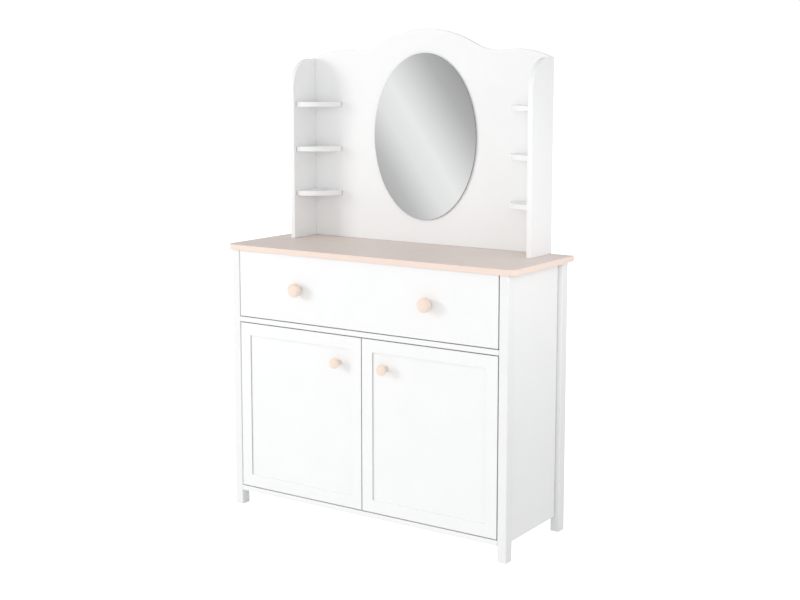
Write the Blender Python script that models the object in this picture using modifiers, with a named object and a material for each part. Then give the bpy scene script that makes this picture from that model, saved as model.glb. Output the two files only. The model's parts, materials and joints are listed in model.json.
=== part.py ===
"""Dressing table: a cabinet with one drawer and two doors, under a hutch with an oval mirror.

Metres, +Z up, the front faces -Y. The origin is on the floor, at the centre of the footprint.
Left and right are as seen from the front: left is -X. Depths named *_DEPTH or "back" are
measured from the front face of the legs, and y_at() turns them into the model's Y.
"""
import math

import bmesh
import bpy
from mathutils import Matrix, Vector

# Shared sizes
GAP = 0.0003            # between pieces that touch
BOARD = 0.016           # laminated board
CHAMFER = 0.0008        # broken edge of a board
REVEAL = 0.003          # visible gap round each inset front
SIDES = (("left", -1), ("right", 1))

# Cabinet
OPENING_HALF = 0.487    # centre to the inner face of a leg
LEG_WIDTH = 0.030
LEG_DEPTH = 0.036
LEG_ROUND = 0.0025
LEG_FREE = 0.050        # floor to the bottom panel
CABINET_DEPTH = 0.372   # front face of the legs to the back of the cabinet
SIDE_SETBACK = 0.014    # side panel behind the legs' outer face
DOOR_HEIGHT = 0.548
DRAWER_FRONT_HEIGHT = 0.215
TOP_REVEAL = 0.001      # between the drawer front and the table top
BACK_BOARD = 0.003
STOP_HALF_WIDTH = 0.020
STOP_HEIGHT = 0.020
STOP_DEPTH = 0.018

# Table top
TOP_THICK = 0.018
TOP_OVERHANG_SIDE = 0.020
TOP_OVERHANG_FRONT = 0.007
TOP_CORNER = 0.030
EDGE_BAND = 0.002

# Doors
DOOR_FRAME = 0.040
DOOR_RECESS = 0.003

# Turned knobs: one shape in two sizes, so these are shares of the radius
KNOB_REACH = 1.60       # front face to the middle of the knob's face
KNOB_NECK_LOW = 0.34
KNOB_FOOT_THICK = 0.14
# Depths of the head's domed face, straight rim and rounded back, then radii of neck and foot
DRAWER_KNOB_SHAPE = (0.35, 0.45, 0.25, 0.45, 0.55)
DOOR_KNOB_SHAPE = (0.26, 0.06, 0.22, 0.34, 0.52)
KNOB_STEPS = 24
DRAWER_KNOB_RADIUS = 0.02175
DRAWER_KNOB_X = 0.2435
DRAWER_KNOB_Z = 0.747
DOOR_KNOB_RADIUS = 0.0175
DOOR_KNOB_X = 0.089
DOOR_KNOB_Z = 0.5315

# Drawer box and its roller runners
DRAWER_BOARD = 0.012
RUNNER_ROOM = 0.0127    # between the drawer box and the cabinet side
CUT_PAST = 0.001        # how far a cutter passes the face it opens
DRAWER_BOX_BACK = 0.336
DRAWER_SIDE_Z = (0.655, 0.805)
DRAWER_BOTTOM_Z = 0.663
GROOVE_HEIGHT = 0.004
GROOVE_DEPTH = 0.006
STEEL = 0.0012
RUNNER_Z = 0.650
RUNNER_FRONT = 0.018
RUNNER_HEIGHT = 0.036   # cabinet member
RUNNER_LEDGE = 0.0107   # width of the cabinet member's foot
RUNNER_FLANGE = 0.010   # width of the drawer member's flange
RUNNER_EXTRA = 0.004    # cabinet member behind the drawer box
AXLE_RISE = 0.016       # cabinet roller's axle above the foot
CABINET_AXLE_CLEAR = 0.0023
DRAWER_AXLE_CLEAR = 0.0026
ROLLER_RADIUS = 0.010
ROLLER_WIDTH = 0.006
ROLLER_BORE = 0.0028
AXLE_RADIUS = 0.0025
CABINET_ROLLER_BACK = 0.035
DRAWER_ROLLER_BACK = 0.325

# Concealed hinges
HINGE_HEIGHTS = (("lower", 0.149), ("upper", 0.537))
CUP_RADIUS = 0.0172
CUP_BORE_RADIUS = 0.0175
CUP_DEPTH = 0.0112
CUP_BORE_DEPTH = 0.0115
CUP_FROM_EDGE = 0.022
LINK_IN = 0.020         # link pivot: in from the door's turning axis
LINK_BACK = 0.022       # link pivot: behind the front plane
LINK_LENGTH = 0.036
LINK_EYE = 0.004
LINK_BORE = 0.0018
LINK_PIN = 0.0015
LINK_HALF_HEIGHT = 0.005
STRAP_HALF = 0.001
STRAP_SHORT = 0.0005    # strap below the eye's end faces
CUP_FLANGE_HALF = (0.008, 0.029)
EAR_HALF_WIDTH = 0.0035
EAR_BACK = 0.0008
EAR_REACH = 0.008       # ends of the ears above and below the hinge's middle
PIN_LONG = 0.0145
ARM_BACK = 0.050        # middle of the mounting plate behind the front plane
PLATE_THICK = 0.0025
PLATE_HALF = (0.018, 0.022)
ARM_X = (0.0020, 0.0150)
ARM_Y = (-0.026, 0.024)
ARM_HALF_HEIGHT = 0.007

# Inner shelf and its pins
SHELF_UNDERSIDE = 0.340
SHELF_FRONT = 0.040
SHELF_SIDE_PLAY = 0.001
SHELF_REAR_PLAY = 0.002
PIN_RADIUS = 0.0025
PIN_BORE_RADIUS = 0.0028
PIN_LENGTH = 0.016
PIN_BORE_DEPTH = 0.0085
PIN_BACKS = (("front", 0.080), ("rear", 0.320))

# Hutch
HUTCH_HALF = 0.4592
HUTCH_SIDE_FRONT = 0.238
HUTCH_SIDE_TOP = 1.4745
HUTCH_SIDE_CORNER = 0.095
HUTCH_BACK_BOARD = 0.012
CROWN_TOP = 1.569
CREST_RADIUS = 0.380
CREST_ANGLE = math.radians(28.7)
VALLEY_RADIUS = 0.178
VALLEY_RISE = math.radians(6.4)
SHOULDER_RADIUS = 0.332
CORNER_SHELF_RADIUS = 0.110
CORNER_SHELF_TOPS = (("lower", 1.033), ("middle", 1.182), ("upper", 1.331))

# Mirror
MIRROR_WIDTH = 0.390
MIRROR_HEIGHT = 0.540
MIRROR_Z = 1.221
MIRROR_THICK = 0.004
TAPE_THICK = 0.001
TAPE_SIZE = (0.025, 0.300)
TAPE_X = 0.080

# Heights that follow from the sizes above
BOTTOM_TOP = LEG_FREE + BOARD
DOOR_LOW = BOTTOM_TOP + REVEAL
DOOR_HIGH = DOOR_LOW + DOOR_HEIGHT
DIVIDER_LOW = DOOR_HIGH + REVEAL
DIVIDER_HIGH = DIVIDER_LOW + BOARD
DRAWER_LOW = DIVIDER_HIGH + REVEAL
DRAWER_HIGH = DRAWER_LOW + DRAWER_FRONT_HEIGHT
CABINET_HIGH = DRAWER_HIGH + TOP_REVEAL
TOP_SURFACE = CABINET_HIGH + TOP_THICK

# Widths and depths that follow
OUTER_HALF = OPENING_HALF + LEG_WIDTH
TOP_HALF = OUTER_HALF + TOP_OVERHANG_SIDE
FRONT_HALF = OPENING_HALF - REVEAL
PIVOT_X = OPENING_HALF - REVEAL / 2
DRAWER_BOX_HALF = OPENING_HALF - RUNNER_ROOM
ROLLER_X = OPENING_HALF - RUNNER_ROOM / 2 - GAP
INNER_BACK = CABINET_DEPTH - BACK_BOARD - 2 * GAP
HUTCH_BACK_FRONT = CABINET_DEPTH - HUTCH_BACK_BOARD
MODEL_SHIFT = (CABINET_DEPTH - KNOB_REACH * DRAWER_KNOB_RADIUS) / 2

# Finishes: colour, roughness, metallic
FINISHES = {
    "white_board": ((0.93, 0.93, 0.925), 0.38, 0.0),
    "rose_top": ((0.78, 0.69, 0.64), 0.42, 0.0),
    "rose_edge": ((0.85, 0.70, 0.62), 0.42, 0.0),
    "knob_wood": ((0.88, 0.74, 0.61), 0.45, 0.0),
    "mirror_glass": ((0.90, 0.91, 0.91), 0.03, 1.0),
    "back_board": ((0.88, 0.88, 0.87), 0.55, 0.0),
    "drawer_board": ((0.88, 0.88, 0.88), 0.45, 0.0),
    "runner_steel": ((0.90, 0.90, 0.89), 0.35, 0.0),
    "hinge_steel": ((0.72, 0.72, 0.74), 0.28, 1.0),
    "nylon": ((0.85, 0.85, 0.83), 0.40, 0.0),
    "stop_rubber": ((0.55, 0.55, 0.55), 0.70, 0.0),
    "mirror_tape": ((0.80, 0.80, 0.78), 0.80, 0.0),
}


def y_at(back):
    """The model's Y at a depth behind the front face of the legs."""
    return back - MODEL_SHIFT


def clear_scene():
    for obj in list(bpy.data.objects):
        bpy.data.objects.remove(obj, do_unlink=True)


def new_collection(name):
    collection = bpy.data.collections.new(name)
    bpy.context.scene.collection.children.link(collection)
    return collection


def make_materials():
    materials = {}
    for name, (colour, roughness, metallic) in FINISHES.items():
        material = bpy.data.materials.new(name)
        material.use_nodes = True
        shader = material.node_tree.nodes["Principled BSDF"]
        shader.inputs["Base Color"].default_value = (*colour, 1.0)
        shader.inputs["Roughness"].default_value = roughness
        shader.inputs["Metallic"].default_value = metallic
        materials[name] = material
    return materials


def finish_piece(name, data, finish, location=(0, 0, 0), rotation=(0, 0, 0)):
    """Puts mesh or curve data in the object's collection as a named piece."""
    obj = bpy.data.objects.new(name, data)
    obj.location = location
    obj.rotation_euler = rotation
    data.materials.append(MATERIALS[finish])
    PIECES.objects.link(obj)
    return obj


def box_mesh(name, low, high, origin):
    """A cuboid between two corners, with its vertices measured from origin."""
    centre = (Vector(low) + Vector(high)) / 2
    size = Vector(high) - Vector(low)
    mesh = bpy.data.meshes.new(name)
    bm = bmesh.new()
    bmesh.ops.create_cube(bm, size=1.0)
    bmesh.ops.scale(bm, vec=size, verts=bm.verts)
    bmesh.ops.translate(bm, vec=centre - Vector(origin), verts=bm.verts)
    bm.to_mesh(mesh)
    bm.free()
    return mesh


def round_edges(obj, width, segments=1):
    bevel = obj.modifiers.new("edges", "BEVEL")
    bevel.width = width
    bevel.segments = segments
    bevel.limit_method = "ANGLE"


def board(name, low, high, finish="white_board", origin=(0, 0, 0), chamfer=CHAMFER):
    obj = finish_piece(name, box_mesh(name, low, high, origin), finish, origin)
    if chamfer:
        round_edges(obj, chamfer)
    return obj


def rod_mesh(name, radius, length, axis, offset=(0, 0, 0), segments=24):
    """A cylinder centred on offset, along X, Y or Z."""
    turn = {"X": Matrix.Rotation(math.pi / 2, 4, "Y"),
            "Y": Matrix.Rotation(math.pi / 2, 4, "X"),
            "Z": Matrix.Identity(4)}[axis]
    mesh = bpy.data.meshes.new(name)
    bm = bmesh.new()
    bmesh.ops.create_cone(bm, cap_ends=True, segments=segments, radius1=radius,
                          radius2=radius, depth=length)
    bmesh.ops.transform(bm, matrix=Matrix.Translation(offset) @ turn, verts=bm.verts)
    bm.to_mesh(mesh)
    bm.free()
    mesh.shade_smooth()
    mesh.set_sharp_from_angle(angle=math.radians(40))
    return mesh


def add_tool(obj, mesh, operation):
    """Cuts a shape out of a piece, or joins one to it. The shape shares the piece's origin."""
    tool = bpy.data.objects.new(obj.name + "_tool", mesh)
    tool.location = obj.location
    tool.hide_render = True
    tool.display_type = "WIRE"
    CUTTERS.objects.link(tool)
    boolean = obj.modifiers.new(operation.lower(), "BOOLEAN")
    boolean.operation = operation
    boolean.object = tool


def attach(child, parent):
    """Parents a piece to an unturned parent, and leaves it where it stands."""
    child.parent = parent
    child.matrix_parent_inverse = Matrix.Translation(parent.location).inverted()


def pivot(name, location):
    empty = bpy.data.objects.new(name, None)
    empty.location = location
    PIECES.objects.link(empty)
    return empty


def arc(centre, radius, start, end, steps):
    """Points on a circle from one angle to another, both ends included."""
    points = []
    for i in range(steps + 1):
        angle = start + (end - start) * i / steps
        points.append((centre[0] + radius * math.cos(angle), centre[1] + radius * math.sin(angle)))
    return points


def sheet(name, outline, thickness, finish, location, rotation=(0, 0, 0)):
    """A flat piece with the given outline, centred on its own plane."""
    curve = bpy.data.curves.new(name, "CURVE")
    curve.dimensions = "2D"
    curve.fill_mode = "BOTH"
    curve.extrude = thickness / 2
    spline = curve.splines.new("POLY")
    spline.points.add(len(outline) - 1)
    for point, (x, y) in zip(spline.points, outline):
        point.co = (x, y, 0, 1)
    spline.use_cyclic_u = True
    return finish_piece(name, curve, finish, location, rotation)


# ---------------------------------------------------------------- cabinet

def make_legs():
    rows = (("front", 0.0), ("rear", CABINET_DEPTH - LEG_DEPTH))
    for row, back in rows:
        for side, sign in SIDES:
            xs = sorted((sign * OPENING_HALF, sign * OUTER_HALF))
            low = (xs[0], y_at(back), 0.0)
            high = (xs[1], y_at(back + LEG_DEPTH), CABINET_HIGH - GAP)
            leg = board(f"{side}_{row}_leg", low, high, chamfer=0)
            round_edges(leg, LEG_ROUND, 2)


def make_side_panels():
    outer = OUTER_HALF - SIDE_SETBACK
    for side, sign in SIDES:
        xs = sorted((sign * (outer - BOARD), sign * outer))
        low = (xs[0], y_at(LEG_DEPTH + GAP), LEG_FREE)
        high = (xs[1], y_at(CABINET_DEPTH - LEG_DEPTH - GAP), CABINET_HIGH - GAP)
        panel = board(f"{side}_side_panel", low, high, chamfer=0)
        for _, back in PIN_BACKS:
            centre = (sign * OPENING_HALF, y_at(back), SHELF_UNDERSIDE - PIN_RADIUS - GAP)
            bore = rod_mesh("pin_bore", PIN_BORE_RADIUS, 2 * PIN_BORE_DEPTH, "X", centre, 16)
            add_tool(panel, bore, "DIFFERENCE")


def make_cabinet_panels():
    half = OPENING_HALF - GAP
    levels = (("bottom_panel", LEG_FREE, BOTTOM_TOP), ("drawer_divider", DIVIDER_LOW, DIVIDER_HIGH))
    for name, low_z, high_z in levels:
        board(name, (-half, y_at(0), low_z), (half, y_at(INNER_BACK), high_z))
    back_low = (-half, y_at(INNER_BACK + GAP), LEG_FREE)
    back_high = (half, y_at(INNER_BACK + GAP + BACK_BOARD), CABINET_HIGH - GAP)
    board("cabinet_back_board", back_low, back_high, "back_board", chamfer=0)
    stop_low = (-STOP_HALF_WIDTH, y_at(BOARD + 2 * GAP), DIVIDER_LOW - STOP_HEIGHT)
    stop_high = (STOP_HALF_WIDTH, y_at(BOARD + STOP_DEPTH), DIVIDER_LOW - GAP)
    board("door_stop", stop_low, stop_high, "stop_rubber")


def top_outline(inset):
    """The table top's outline, square at the back and round at the front, moved in by inset."""
    half = TOP_HALF - inset
    front = y_at(-TOP_OVERHANG_FRONT) + inset
    radius = TOP_CORNER - inset
    rear = y_at(CABINET_DEPTH)
    left = arc((-half + radius, front + radius), radius, math.pi, 1.5 * math.pi, 8)
    right = arc((half - radius, front + radius), radius, 1.5 * math.pi, 2 * math.pi, 8)
    return [(-half, rear)] + left + right + [(half, rear)]


def make_table_top():
    centre = (0, 0, (CABINET_HIGH + TOP_SURFACE) / 2)
    sheet("table_top", top_outline(EDGE_BAND + GAP), TOP_THICK, "rose_top", centre)
    band = top_outline(0) + top_outline(EDGE_BAND)[::-1]
    sheet("table_top_edge_band", band, TOP_THICK, "rose_edge", centre)


def make_inner_shelf():
    half = OPENING_HALF - SHELF_SIDE_PLAY
    low = (-half, y_at(SHELF_FRONT), SHELF_UNDERSIDE)
    high = (half, y_at(INNER_BACK - SHELF_REAR_PLAY), SHELF_UNDERSIDE + BOARD)
    board("inner_shelf", low, high)
    for side, sign in SIDES:
        for row, back in PIN_BACKS:
            name = f"{side}_{row}_shelf_pin"
            location = (sign * OPENING_HALF, y_at(back), SHELF_UNDERSIDE - PIN_RADIUS - GAP)
            mesh = rod_mesh(name, PIN_RADIUS, PIN_LENGTH, "X", segments=16)
            finish_piece(name, mesh, "hinge_steel", location)


# ---------------------------------------------------------------- drawer

def knob_outline(radius, shape):
    """Half of a turned knob's section, from the middle of its face down to its foot."""
    dome, rim, back, neck, foot = (share * radius for share in shape)
    rim_front = KNOB_REACH * radius - GAP - dome
    rim_back = rim_front - rim
    head = []
    for degrees in range(0, 151, 15):
        angle = math.radians(degrees)
        if degrees <= 90:
            head.append((radius * math.sin(angle), rim_front + dome * math.cos(angle)))
        if degrees >= 90:
            head.append((radius * math.sin(angle), rim_back + back * math.cos(angle)))
    low, flange = KNOB_NECK_LOW * radius, KNOB_FOOT_THICK * radius
    return head + [(neck, rim_back - back), (neck, low), (foot, flange), (foot, 0.0), (0.0, 0.0)]


def knob(name, radius, shape, x, z):
    """A turned knob on a front, its local Z pointing out of the furniture."""
    outline = knob_outline(radius, shape)
    mesh = bpy.data.meshes.new(name)
    bm = bmesh.new()
    points = [bm.verts.new((r, 0, h)) for r, h in outline]
    for first, second in zip(points, points[1:]):
        bm.edges.new((first, second))
    bm.to_mesh(mesh)
    bm.free()
    obj = finish_piece(name, mesh, "knob_wood", (x, y_at(-GAP), z), (math.pi / 2, 0, 0))
    screw = obj.modifiers.new("turn", "SCREW")
    screw.axis = "Z"
    screw.steps = KNOB_STEPS
    screw.render_steps = KNOB_STEPS
    screw.use_merge_vertices = True
    screw.merge_threshold = 0.00005
    screw.use_smooth_shade = True
    return obj


def groove(obj, low, high):
    add_tool(obj, box_mesh("groove", low, high, obj.location), "DIFFERENCE")


def make_drawer():
    slide = pivot("drawer_slide", (0, y_at(0), DRAWER_BOTTOM_Z))
    groove_top = DRAWER_BOTTOM_Z + GROOVE_HEIGHT
    front = board("drawer_front", (-FRONT_HALF, y_at(0), DRAWER_LOW),
                  (FRONT_HALF, y_at(BOARD), DRAWER_HIGH))
    inside = DRAWER_BOX_HALF - DRAWER_BOARD
    groove_half = inside + GROOVE_DEPTH
    groove(front, (-groove_half, y_at(BOARD - GROOVE_DEPTH), DRAWER_BOTTOM_Z),
           (groove_half, y_at(BOARD + CUT_PAST), groove_top))
    pieces = [front]
    side_low, side_high = DRAWER_SIDE_Z
    box_front = BOARD + GAP
    for side, sign in SIDES:
        xs = sorted((sign * inside, sign * DRAWER_BOX_HALF))
        panel = board(f"drawer_{side}_side", (xs[0], y_at(box_front), side_low),
                      (xs[1], y_at(DRAWER_BOX_BACK), side_high), "drawer_board")
        cut = sorted((sign * (inside - CUT_PAST), sign * groove_half))
        groove(panel, (cut[0], y_at(0), DRAWER_BOTTOM_Z), (cut[1], y_at(CABINET_DEPTH), groove_top))
        pieces.append(panel)
        pieces.append(knob(f"drawer_{side}_knob", DRAWER_KNOB_RADIUS, DRAWER_KNOB_SHAPE,
                           sign * DRAWER_KNOB_X, DRAWER_KNOB_Z))
    pieces.append(board("drawer_back", (-inside + GAP, y_at(DRAWER_BOX_BACK - DRAWER_BOARD), groove_top),
                        (inside - GAP, y_at(DRAWER_BOX_BACK), side_high), "drawer_board"))
    pieces.append(board("drawer_bottom",
                        (-groove_half + GAP, y_at(BOARD - GROOVE_DEPTH + GAP), DRAWER_BOTTOM_Z + GAP),
                        (groove_half - GAP, y_at(DRAWER_BOX_BACK), groove_top - GAP),
                        "back_board", chamfer=0))
    for piece in pieces:
        attach(piece, slide)
    return slide


# ---------------------------------------------------------------- runners

def make_roller(name, sign, back, z, parent):
    location = (sign * ROLLER_X, y_at(back), z)
    mesh = rod_mesh(name, ROLLER_RADIUS, ROLLER_WIDTH, "X", segments=24)
    roller = finish_piece(name, mesh, "nylon", location)
    bore = rod_mesh("roller_bore", ROLLER_BORE, 2 * ROLLER_WIDTH, "X", segments=16)
    add_tool(roller, bore, "DIFFERENCE")
    if parent:
        attach(roller, parent)


def strip(obj, sign, inner, outer, z_low, z_high, back):
    """Joins one straight strip of steel, over the runner's length, to a runner member."""
    xs = sorted((sign * inner, sign * outer))
    mesh = box_mesh("strip", (xs[0], y_at(RUNNER_FRONT), z_low), (xs[1], y_at(back), z_high),
                    obj.location)
    add_tool(obj, mesh, "UNION")


def axle(obj, sign, inner, outer, back, z):
    centre = (sign * (inner + outer) / 2, y_at(back), z)
    add_tool(obj, rod_mesh("axle", AXLE_RADIUS, outer - inner, "X", centre, 16), "UNION")


def make_cabinet_runner(side, sign):
    """An L-shaped member on the cabinet side, with a fixed roller at its front."""
    outer = OPENING_HALF - GAP
    back = DRAWER_BOX_BACK + RUNNER_EXTRA
    xs = sorted((sign * (outer - STEEL), sign * outer))
    member = board(f"{side}_cabinet_runner", (xs[0], y_at(RUNNER_FRONT), RUNNER_Z),
                   (xs[1], y_at(back), RUNNER_Z + RUNNER_HEIGHT), "runner_steel", chamfer=0)
    strip(member, sign, outer - RUNNER_LEDGE, outer - STEEL / 2, RUNNER_Z, RUNNER_Z + STEEL, back)
    roller_z = RUNNER_Z + AXLE_RISE
    axle(member, sign, DRAWER_BOX_HALF + CABINET_AXLE_CLEAR, outer - STEEL / 2, CABINET_ROLLER_BACK,
         roller_z)
    make_roller(f"{side}_cabinet_roller", sign, CABINET_ROLLER_BACK, roller_z, None)


def make_drawer_runner(side, sign, slide):
    """A member on the drawer side: a foot under the box, a web, and a flange over the roller."""
    inner = DRAWER_BOX_HALF + GAP
    back = DRAWER_BOX_BACK
    foot_z = DRAWER_SIDE_Z[0] - GAP - STEEL
    flange_z = RUNNER_Z + AXLE_RISE + ROLLER_RADIUS + GAP
    xs = sorted((sign * inner, sign * (inner + STEEL)))
    member = board(f"{side}_drawer_runner", (xs[0], y_at(RUNNER_FRONT), foot_z),
                   (xs[1], y_at(back), flange_z + STEEL), "runner_steel", chamfer=0)
    strip(member, sign, inner - DRAWER_BOARD, inner + STEEL / 2, foot_z, foot_z + STEEL, back)
    strip(member, sign, inner + STEEL / 2, inner + RUNNER_FLANGE, flange_z, flange_z + STEEL, back)
    roller_z = RUNNER_Z + STEEL + ROLLER_RADIUS + GAP
    axle(member, sign, inner + STEEL / 2, OPENING_HALF - DRAWER_AXLE_CLEAR, DRAWER_ROLLER_BACK,
         roller_z)
    attach(member, slide)
    make_roller(f"{side}_drawer_roller", sign, DRAWER_ROLLER_BACK, roller_z, slide)


# ---------------------------------------------------------------- doors and hinges

def make_door(side, sign):
    hinge_axis = (sign * PIVOT_X, y_at(0), DOOR_LOW)
    door_pivot = pivot(f"{side}_door_pivot", hinge_axis)
    xs = sorted((sign * REVEAL / 2, sign * FRONT_HALF))
    door = board(f"{side}_door", (xs[0], y_at(0), DOOR_LOW), (xs[1], y_at(BOARD), DOOR_HIGH),
                 origin=hinge_axis)
    recess = box_mesh("recess", (xs[0] + DOOR_FRAME, y_at(-CUT_PAST), DOOR_LOW + DOOR_FRAME),
                      (xs[1] - DOOR_FRAME, y_at(DOOR_RECESS), DOOR_HIGH - DOOR_FRAME), hinge_axis)
    add_tool(door, recess, "DIFFERENCE")
    for _, z in HINGE_HEIGHTS:
        offset = (-sign * (CUP_FROM_EDGE + REVEAL / 2), BOARD, z - DOOR_LOW)
        bore = rod_mesh("cup_bore", CUP_BORE_RADIUS, 2 * CUP_BORE_DEPTH, "Y", offset, 32)
        add_tool(door, bore, "DIFFERENCE")
    attach(door, door_pivot)
    attach(knob(f"{side}_door_knob", DOOR_KNOB_RADIUS, DOOR_KNOB_SHAPE, sign * DOOR_KNOB_X,
                DOOR_KNOB_Z), door_pivot)
    for level, z in HINGE_HEIGHTS:
        attach(make_hinge_cup(f"{side}_{level}_hinge_cup", sign, z), door_pivot)
        attach(make_hinge_link(f"{side}_{level}_hinge_link", sign, z), door_pivot)
        make_hinge_arm(f"{side}_{level}_hinge_arm", sign, z)


def make_hinge_cup(name, sign, z):
    """A cup in the door's bore, its flange on the door's back, and two ears with a pin."""
    edge = sign * FRONT_HALF
    origin = (edge - sign * CUP_FROM_EDGE, y_at(BOARD), z)
    cup = finish_piece(name, rod_mesh(name, CUP_RADIUS, CUP_DEPTH, "Y", (0, -CUP_DEPTH / 2 + GAP, 0), 32),
                       "hinge_steel", origin)
    half_width, half_height = CUP_FLANGE_HALF
    add_tool(cup, box_mesh("flange", (-half_width, GAP, -half_height),
                           (half_width, GAP + STEEL, half_height), (0, 0, 0)), "UNION")
    pin_x = sign * (PIVOT_X - LINK_IN) - origin[0]
    pin_y = LINK_BACK - BOARD
    clear = LINK_HALF_HEIGHT + GAP
    for low, high in ((-EAR_REACH, -clear), (clear, EAR_REACH)):
        ear = box_mesh("ear", (pin_x - EAR_HALF_WIDTH, EAR_BACK, low),
                       (pin_x + EAR_HALF_WIDTH, pin_y + EAR_HALF_WIDTH, high), (0, 0, 0))
        add_tool(cup, ear, "UNION")
    add_tool(cup, rod_mesh("pin", LINK_PIN, PIN_LONG, "Z", (pin_x, pin_y, 0), 16), "UNION")
    return cup


def make_hinge_link(name, sign, z):
    """A strap from the pin on the cup to the arm, with a round eye at its front end."""
    origin = (sign * (PIVOT_X - LINK_IN), y_at(LINK_BACK), z)
    eye = rod_mesh(name, LINK_EYE, 2 * LINK_HALF_HEIGHT, "Z", segments=24)
    link = finish_piece(name, eye, "hinge_steel", origin)
    half_height = LINK_HALF_HEIGHT - STRAP_SHORT
    strap = box_mesh("strap", (-STRAP_HALF, STRAP_HALF, -half_height),
                     (STRAP_HALF, LINK_LENGTH, half_height), (0, 0, 0))
    add_tool(link, strap, "UNION")
    bore = rod_mesh("eye_bore", LINK_BORE, 4 * LINK_HALF_HEIGHT, "Z", segments=16)
    add_tool(link, bore, "DIFFERENCE")
    return link


def make_hinge_arm(name, sign, z):
    """The arm on the cabinet side, with its mounting plate."""
    origin = (sign * (OPENING_HALF - GAP), y_at(ARM_BACK), z)
    plate_x = sorted((0.0, -sign * PLATE_THICK))
    arm_x = sorted((-sign * ARM_X[0], -sign * ARM_X[1]))
    half_depth, half_height = PLATE_HALF
    plate = box_mesh(name, (plate_x[0], -half_depth, -half_height),
                     (plate_x[1], half_depth, half_height), (0, 0, 0))
    arm = finish_piece(name, plate, "hinge_steel", origin)
    body = box_mesh("arm", (arm_x[0], ARM_Y[0], -ARM_HALF_HEIGHT), (arm_x[1], ARM_Y[1], ARM_HALF_HEIGHT),
                    (0, 0, 0))
    add_tool(arm, body, "UNION")
    round_edges(arm, CHAMFER)


# ---------------------------------------------------------------- hutch

def crown_half():
    """The right half of the crown's edge: a convex crest, a hollow, and a convex shoulder."""
    up = math.pi / 2
    crest_centre = (0.0, CROWN_TOP - CREST_RADIUS)
    reach = CREST_RADIUS + VALLEY_RADIUS
    valley_centre = (crest_centre[0] + reach * math.sin(CREST_ANGLE),
                     crest_centre[1] + reach * math.cos(CREST_ANGLE))
    reach = VALLEY_RADIUS + SHOULDER_RADIUS
    shoulder_centre = (valley_centre[0] + reach * math.sin(VALLEY_RISE),
                       valley_centre[1] - reach * math.cos(VALLEY_RISE))
    end = math.acos((HUTCH_HALF - shoulder_centre[0]) / SHOULDER_RADIUS)
    crest = arc(crest_centre, CREST_RADIUS, up, up - CREST_ANGLE, 8)
    valley = arc(valley_centre, VALLEY_RADIUS, -up - CREST_ANGLE, -up + VALLEY_RISE, 8)
    shoulder = arc(shoulder_centre, SHOULDER_RADIUS, up + VALLEY_RISE, end, 8)
    return crest + valley[1:] + shoulder[1:]


def make_hutch_back():
    right = crown_half()
    left = [(-x, z) for x, z in right[:0:-1]]
    foot = TOP_SURFACE + GAP
    outline = [(-HUTCH_HALF, foot)] + left + right + [(HUTCH_HALF, foot)]
    location = (0, y_at(HUTCH_BACK_FRONT + HUTCH_BACK_BOARD / 2), 0)
    sheet("hutch_back_panel", outline, HUTCH_BACK_BOARD, "white_board", location,
          (math.pi / 2, 0, 0))


def make_hutch_sides():
    front = y_at(HUTCH_SIDE_FRONT)
    back = y_at(HUTCH_BACK_FRONT - GAP)
    foot = TOP_SURFACE + GAP
    centre = (front + HUTCH_SIDE_CORNER, HUTCH_SIDE_TOP - HUTCH_SIDE_CORNER)
    corner = arc(centre, HUTCH_SIDE_CORNER, math.pi, math.pi / 2, 12)
    outline = [(front, foot)] + corner + [(back, HUTCH_SIDE_TOP), (back, foot)]
    for side, sign in SIDES:
        location = (sign * (HUTCH_HALF - BOARD / 2), 0, 0)
        sheet(f"hutch_{side}_side", outline, BOARD, "white_board", location,
              (math.pi / 2, 0, math.pi / 2))


def make_corner_shelves():
    corner_x = HUTCH_HALF - BOARD - GAP
    corner_y = y_at(HUTCH_BACK_FRONT - GAP)
    for side, sign in SIDES:
        start = -math.pi / 2 if sign < 0 else math.pi
        edge = arc((0, 0), CORNER_SHELF_RADIUS, start, start + math.pi / 2, 10)
        for level, top in CORNER_SHELF_TOPS:
            location = (sign * corner_x, corner_y, top - BOARD / 2)
            sheet(f"{side}_{level}_corner_shelf", [(0, 0)] + edge, BOARD, "white_board", location)


def make_mirror():
    tape_back = HUTCH_BACK_FRONT - GAP
    glass_back = tape_back - TAPE_THICK - GAP
    location = (0, y_at(glass_back - MIRROR_THICK / 2), MIRROR_Z)
    mesh = rod_mesh("mirror", 0.5, MIRROR_THICK, "Y", segments=72)
    mesh.transform(Matrix.Diagonal((MIRROR_WIDTH, 1.0, MIRROR_HEIGHT, 1.0)))
    finish_piece("mirror", mesh, "mirror_glass", location)
    for side, sign in SIDES:
        xs = sorted((sign * (TAPE_X - TAPE_SIZE[0] / 2), sign * (TAPE_X + TAPE_SIZE[0] / 2)))
        board(f"{side}_mirror_tape", (xs[0], y_at(tape_back - TAPE_THICK), MIRROR_Z - TAPE_SIZE[1] / 2),
              (xs[1], y_at(tape_back), MIRROR_Z + TAPE_SIZE[1] / 2), "mirror_tape", chamfer=0)


def build():
    make_legs()
    make_side_panels()
    make_cabinet_panels()
    make_table_top()
    make_inner_shelf()
    slide = make_drawer()
    for side, sign in SIDES:
        make_cabinet_runner(side, sign)
        make_drawer_runner(side, sign, slide)
        make_door(side, sign)
    make_hutch_back()
    make_hutch_sides()
    make_corner_shelves()
    make_mirror()


clear_scene()
PIECES = new_collection("dressing_table")
CUTTERS = new_collection("cutters")
MATERIALS = make_materials()
build()
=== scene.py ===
"""Looks for the dressing table: fine boards, turned knobs, glass, hardware, light and camera.

Everything is in metres in the frame of the CAD model: +Z up, the front faces -Y, left is -X.
"""
import json
import math

import bmesh
import bpy
from mathutils import Matrix, Vector


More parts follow.
